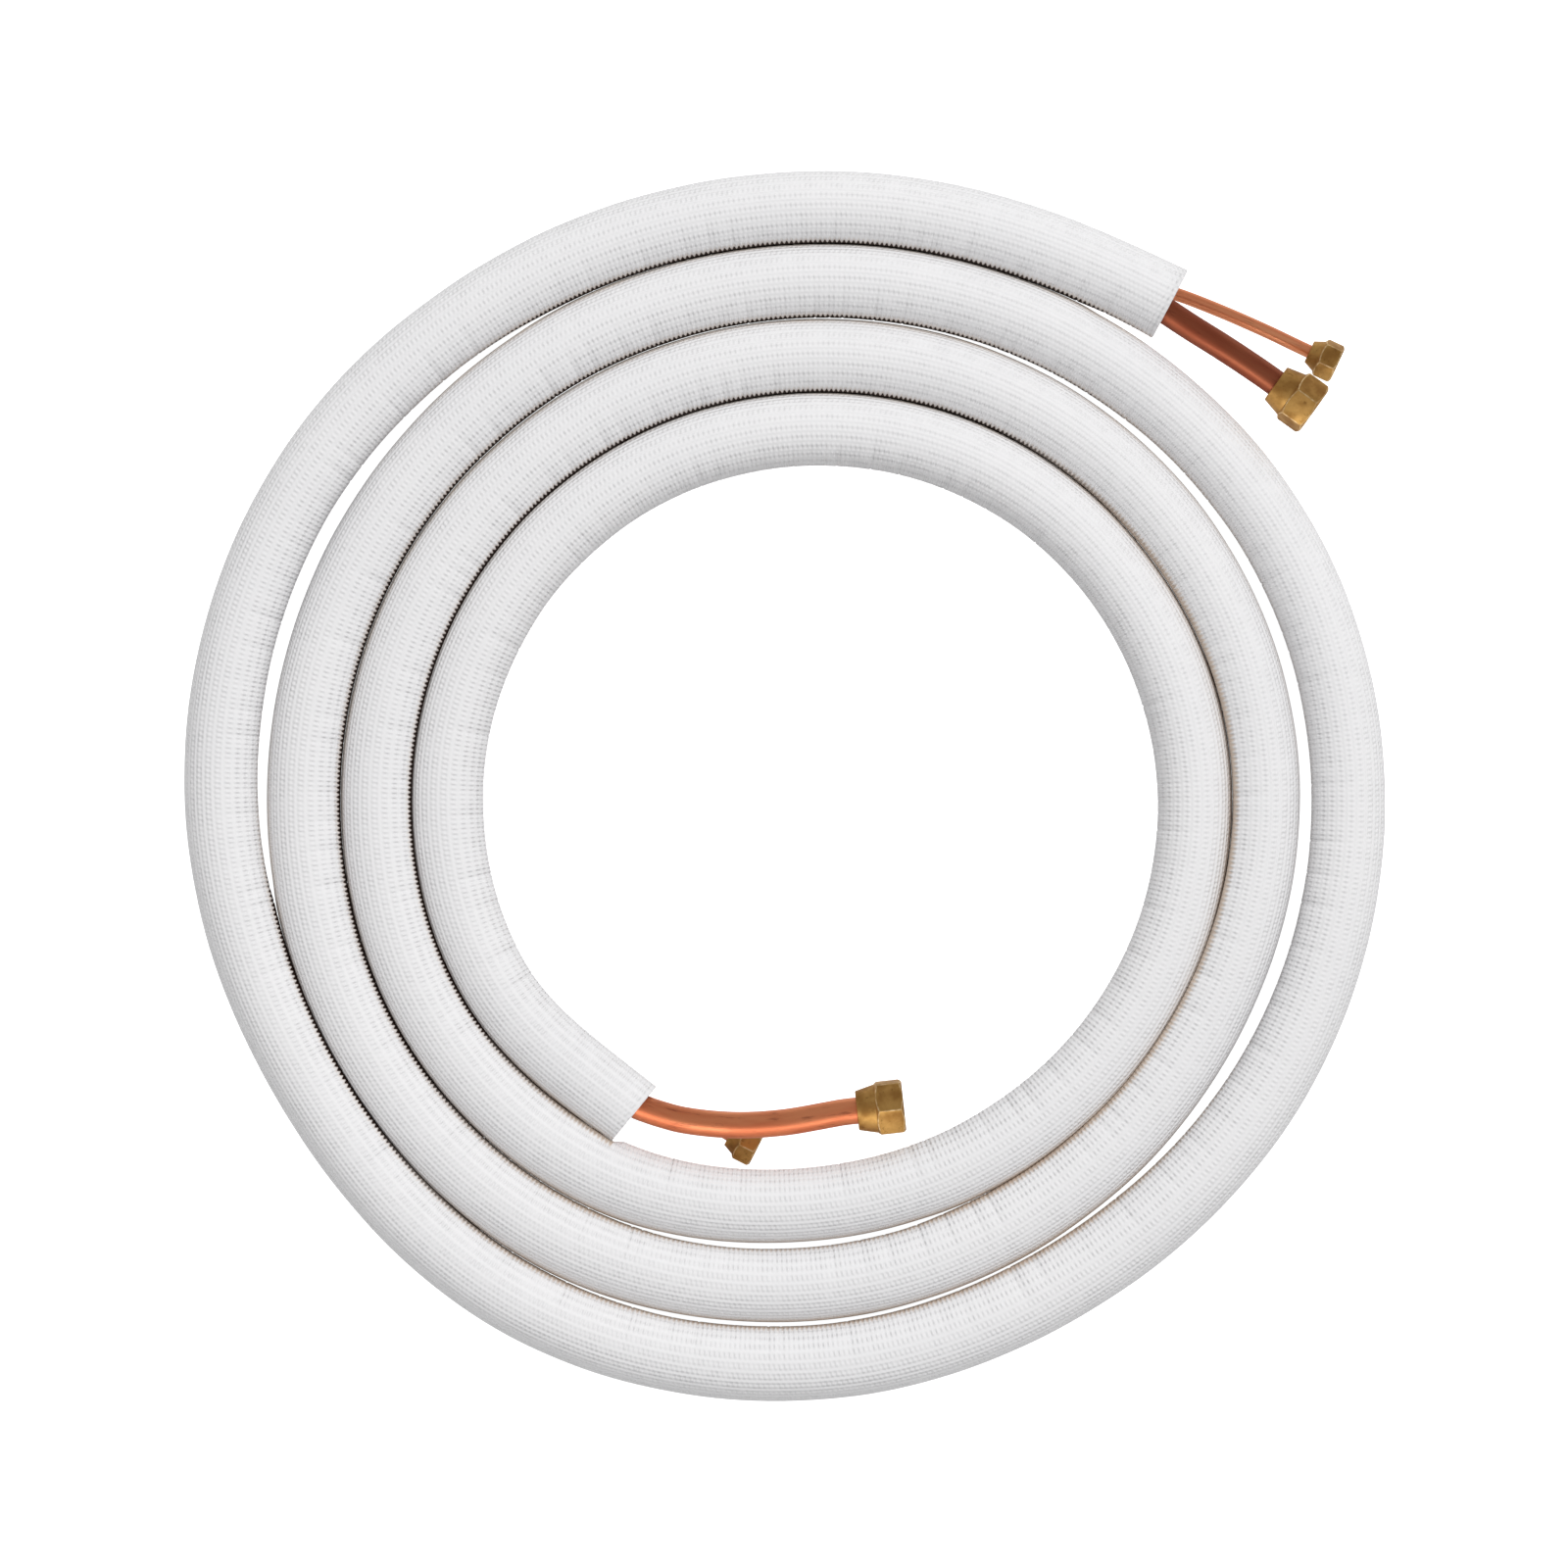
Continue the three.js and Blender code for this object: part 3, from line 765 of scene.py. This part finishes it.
def copper_material(name, bright, dull, stain, stain_share, dark_from, dark_share):
    """Drawn copper. The UV map gives metres along the tube and the share of the way round it."""
    material, tree, shader = new_material(name)
    uv = tree.nodes.new("ShaderNodeUVMap").outputs["UV"]
    parts = tree.nodes.new("ShaderNodeSeparateXYZ")
    tree.links.new(uv, parts.inputs["Vector"])
    # Round the tube by sine and cosine, so that the drawn marks have no seam
    around = sums(tree, "MULTIPLY", parts.outputs["Y"], 2 * math.pi)
    place = tree.nodes.new("ShaderNodeCombineXYZ")
    tree.links.new(sums(tree, "MULTIPLY", parts.outputs["X"], DRAWN_OUT), place.inputs["X"])
    for operation, socket in (("COSINE", "Y"), ("SINE", "Z")):
        reach = sums(tree, "MULTIPLY", sums(tree, operation, around), DRAWN_CIRCLE)
        tree.links.new(reach, place.inputs[socket])
    finish = tree.nodes.new("ShaderNodeGroup")
    finish.node_tree = handled_metal
    tree.links.new(place.outputs["Vector"], finish.inputs["Place"])
    finish.inputs["Bright Color"].default_value = bright
    finish.inputs["Dull Color"].default_value = dull
    finish.inputs["Stain Color"].default_value = stain
    finish.inputs["Patch Scale"].default_value = 150
    finish.inputs["Grain Scale"].default_value = 1500
    finish.inputs["Stain Share"].default_value = stain_share
    finish.inputs["Smoothness"].default_value = 0.30
    # The outer end is painted darker, a painted dark reflection of darker surroundings, and is also made
    # rougher
    start = dark_from - DARKENING_LENGTH
    darkened = spread(tree, parts.outputs["X"], start, dark_from, 0.0, dark_share)
    reflection_darkened = tinted(tree, darkened, finish.outputs["Color"], DARK_REFLECTION_COPPER)
    tree.links.new(reflection_darkened, shader.inputs["Base Color"])
    dulled = sums(tree, "MULTIPLY", darkened, DARK_ROUGHNESS)
    rough = sums(tree, "ADD", finish.outputs["Roughness"], dulled)
    tree.links.new(rough, shader.inputs["Roughness"])
    bump = tree.nodes.new("ShaderNodeBump")
    bump.inputs["Strength"].default_value = 0.35
    bump.inputs["Distance"].default_value = 0.12 * MM
    tree.links.new(finish.outputs["Height"], bump.inputs["Height"])
    tree.links.new(bump.outputs["Normal"], shader.inputs["Normal"])
    shader.inputs["Metallic"].default_value = 1.0
    return material


suction_tube = make_tube(
    "suction_line_copper",
    SUCTION_HEIGHT,
    SUCTION_TUBE_RADIUS,
    SUCTION_FLARE_RADIUS,
    SUCTION_MOUTH_DEPTH,
    "suction",
    0.0,
    runs[-1],
    (SUCTION_INNER_BENDS, SUCTION_OUTER_BENDS),
)
suction_tube.data.materials.append(
    copper_material(
        "suction_copper",
        (0.88, 0.32, 0.15, 1),
        (0.74, 0.22, 0.10, 1),
        (0.26, 0.06, 0.035, 1),
        0.6,
        # Painted darker reflection from the outer end of the sleeve on
        runs[-1] * MM,
        0.75,
    )
)
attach(suction_tube, "line_set")
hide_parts("suction_line_tube")

# Liquid line's copper tube
# Soft drawn quarter inch copper of the same wall. It is thin enough to wave a little where it was
# straightened by hand, and is flared inside its nuts too.
LIQUID_TUBE_RADIUS = 3.175
LIQUID_FLARE_RADIUS = 4.55
LIQUID_MOUTH_DEPTH = 6.37
LIQUID_INNER_BENDS = [(-60.3, -158.8), (-47.3, -161.8)]
LIQUID_OUTER_BENDS = [(169.8, 237.4), (187.2, 232.6), (208.2, 224.5), (229.4, 215.2)]

liquid_tube = make_tube(
    "liquid_line_copper",
    LIQUID_HEIGHT,
    LIQUID_TUBE_RADIUS,
    LIQUID_FLARE_RADIUS,
    LIQUID_MOUTH_DEPTH,
    "liquid",
    LIQUID_SHORTER_INSIDE,
    runs[-1] - LIQUID_SHORTER_OUTSIDE,
    (LIQUID_INNER_BENDS, LIQUID_OUTER_BENDS),
)
liquid_tube.data.materials.append(
    copper_material(
        "liquid_copper",
        (0.97, 0.40, 0.20, 1),
        (0.88, 0.31, 0.15, 1),
        (0.26, 0.07, 0.04, 1),
        0.4,
        runs[-1] * MM,
        0.0,
    )
)
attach(liquid_tube, "line_set")
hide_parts("liquid_line_tube")

# Flare nuts
# Forged brass nuts that hang loose on the tubes behind their flares. Each is turned with a tapered
# collar, chamfered at both ends of its hexagon, and threaded inside from its front face to the seat.
NUT_STEPS = 72
THREAD_DEPTH = 0.55
THREAD_START = 0.9
THREAD_RUNOUT = 0.3
SHOULDER_INSET = 0.45
CHAMFER_ANGLE = 30
EDGE_BREAK = 0.4
BROKEN_FROM = 12
SHARP_FROM = 35
RUBBED_BRASS = (0.98, 0.75, 0.42, 1)
SUCTION_NUT = {
    "flats": 24.0,
    "length": 22.4,
    "collar": 9.1,
    "collar_back": 19.0,
    "collar_front": 23.1,
    "seat": 8.0,
    "socket": 17.4,
    "bore": 13.4,
    "pitch": 1.5875,
}
LIQUID_NUT = {
    "flats": 17.0,
    "length": 14.8,
    "collar": 5.3,
    "collar_back": 11.4,
    "collar_front": 15.3,
    "seat": 4.5,
    "socket": 9.9,
    "bore": 7.05,
    "pitch": 1.27,
}


def nut_profile(nut):
    """Radius and depth of the turned body's outline: outside first, then the threads and the bore."""
    corner = nut["flats"] / 2 / math.cos(math.pi / 6)
    shoulder = nut["flats"] / 2 - SHOULDER_INSET
    slant = (corner - shoulder) * math.tan(math.radians(CHAMFER_ANGLE))
    socket, bore, length = nut["socket"] / 2, nut["bore"] / 2, nut["length"]
    outline = [
        (bore + 0.3, 0.0),
        (nut["collar_back"] / 2 - 0.5, 0.0),
        (nut["collar_back"] / 2 - 0.12, 0.2),
        (nut["collar_back"] / 2, 0.6),
        (nut["collar_front"] / 2, nut["collar"] - 0.25),
        (shoulder, nut["collar"]),
        (corner + 0.02, nut["collar"] + slant),
        (corner + 0.02, length - slant),
        (shoulder, length - 0.05),
        (shoulder - 0.3, length),
        (socket + THREAD_DEPTH + 0.5, length),
        (socket + THREAD_DEPTH, length - 0.5),
    ]
    depth = length - THREAD_START
    seat_top = nut["seat"] + socket - bore
    while depth - nut["pitch"] > seat_top + THREAD_RUNOUT:
        outline.append((socket, depth))
        outline.append((socket, depth - 0.2 * nut["pitch"]))
        outline.append((socket + THREAD_DEPTH, depth - 0.5 * nut["pitch"]))
        outline.append((socket + THREAD_DEPTH, depth - 0.6 * nut["pitch"]))
        depth -= nut["pitch"]
    outline += [
        (socket, depth),
        (socket, seat_top),
        (bore, nut["seat"]),
        (bore, 0.35),
    ]
    return outline


def make_nut(name, line, end, nut, height, hex_turn):
    """Turns the outline about the tube's line, then cuts the six flats."""
    body = bmesh.new()
    ring = [body.verts.new((radius * MM, 0, depth * MM)) for radius, depth in nut_profile(nut)]
    edges = [body.edges.new(pair) for pair in zip(ring, ring[1:] + ring[:1])]
    bmesh.ops.spin(
        body,
        geom=ring + edges,
        axis=(0, 0, 1),
        cent=(0, 0, 0),
        angle=2 * math.pi,
        steps=NUT_STEPS,
        use_merge=True,
    )
    bmesh.ops.remove_doubles(body, verts=body.verts, dist=1e-6)
    for flat in range(6):
        facing = math.radians(60 * flat)
        out = Vector((math.cos(facing), math.sin(facing), 0))
        cut = bmesh.ops.bisect_plane(
            body,
            geom=body.verts[:] + body.edges[:] + body.faces[:],
            dist=1e-7,
            plane_co=out * nut["flats"] / 2 * MM,
            plane_no=out,
            clear_outer=True,
        )
        rim = [part for part in cut["geom_cut"] if isinstance(part, bmesh.types.BMEdge)]
        bmesh.ops.edgeloop_fill(body, edges=rim)
    bmesh.ops.recalc_face_normals(body, faces=body.faces)
    sharp = [
        edge
        for edge in body.edges
        if edge.is_manifold
        and edge.calc_face_angle() > math.radians(BROKEN_FROM)
        and any(len(face.verts) > 8 for face in edge.link_faces)
    ]
    worn_edge = body.loops.layers.float.new("worn_edge")
    rounded = bmesh.ops.bevel(
        body,
        geom=sharp,
        offset=EDGE_BREAK * MM,
        segments=2,
        profile=0.5,
        affect="EDGES",
        material=-1,
        clamp_overlap=True,
    )
    for face in rounded["faces"]:
        for loop in face.loops:
            loop[worn_edge] = 1.0
    for face in body.faces:
        face.smooth = True
    for edge in body.edges:
        if edge.is_manifold and edge.calc_face_angle() > math.radians(SHARP_FROM):
            edge.smooth = False
    back, axis = nut_line(line, end)
    forward = Vector((axis.x, axis.y, 0))
    left = Vector((-axis.y, axis.x, 0))
    up = Vector((0, 0, 1))
    lay = Matrix((left, up, forward)).transposed().to_4x4()
    spun = Matrix.Rotation(math.radians(hex_turn), 4, "Z")
    place = Matrix.Translation(Vector((back.x, back.y, height)) * MM)
    bmesh.ops.transform(body, matrix=place @ lay @ spun, verts=body.verts)
    bmesh.ops.recalc_face_normals(body, faces=body.faces)
    return finished_piece(name, body)


def brass_material(name, seed_turn):
    """Forged brass: yellow where rubbed, with brown stains and small pits."""
    material, tree, shader = new_material(name)
    place = tree.nodes.new("ShaderNodeTexCoord").outputs["Object"]
    turn = tree.nodes.new("ShaderNodeMapping")
    turn.inputs["Rotation"].default_value = (0, 0, seed_turn)
    tree.links.new(place, turn.inputs["Vector"])
    finish = tree.nodes.new("ShaderNodeGroup")
    finish.node_tree = handled_metal
    tree.links.new(turn.outputs["Vector"], finish.inputs["Place"])
    finish.inputs["Bright Color"].default_value = (0.63, 0.36, 0.11, 1)
    finish.inputs["Dull Color"].default_value = (0.41, 0.205, 0.055, 1)
    finish.inputs["Stain Color"].default_value = (0.24, 0.10, 0.025, 1)
    finish.inputs["Patch Scale"].default_value = 110
    finish.inputs["Grain Scale"].default_value = 1100
    finish.inputs["Stain Share"].default_value = 0.7
    finish.inputs["Smoothness"].default_value = 0.40
    patchy = spread(tree, mottle(tree, place, 420, 3), 0.35, 0.65, 0.15, 0.8)
    rubbed = sums(tree, "MULTIPLY", named_value(tree, "worn_edge"), patchy)
    worn = tinted(tree, rubbed, finish.outputs["Color"], RUBBED_BRASS)
    tree.links.new(worn, shader.inputs["Base Color"])
    tree.links.new(finish.outputs["Roughness"], shader.inputs["Roughness"])
    bump = tree.nodes.new("ShaderNodeBump")
    bump.inputs["Strength"].default_value = 0.8
    bump.inputs["Distance"].default_value = 0.25 * MM
    tree.links.new(finish.outputs["Height"], bump.inputs["Height"])
    tree.links.new(bump.outputs["Normal"], shader.inputs["Normal"])
    shader.inputs["Metallic"].default_value = 1.0
    return material


for line, end, nut, height, hex_turn in (
    ("suction", "inner", SUCTION_NUT, SUCTION_HEIGHT, 6.4),
    ("suction", "outer", SUCTION_NUT, SUCTION_HEIGHT, -14.4),
    ("liquid", "inner", LIQUID_NUT, LIQUID_HEIGHT, 12.0),
    ("liquid", "outer", LIQUID_NUT, LIQUID_HEIGHT, 16.8),
):
    piece = make_nut(f"{line}_{end}_flare_nut", line, end, nut, height, hex_turn)
    piece.data.materials.append(brass_material(f"{line}_{end}_brass", height + hex_turn))
    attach(piece, f"{line}_nut_{end}")
    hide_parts(f"{line}_line_nut_{end}")
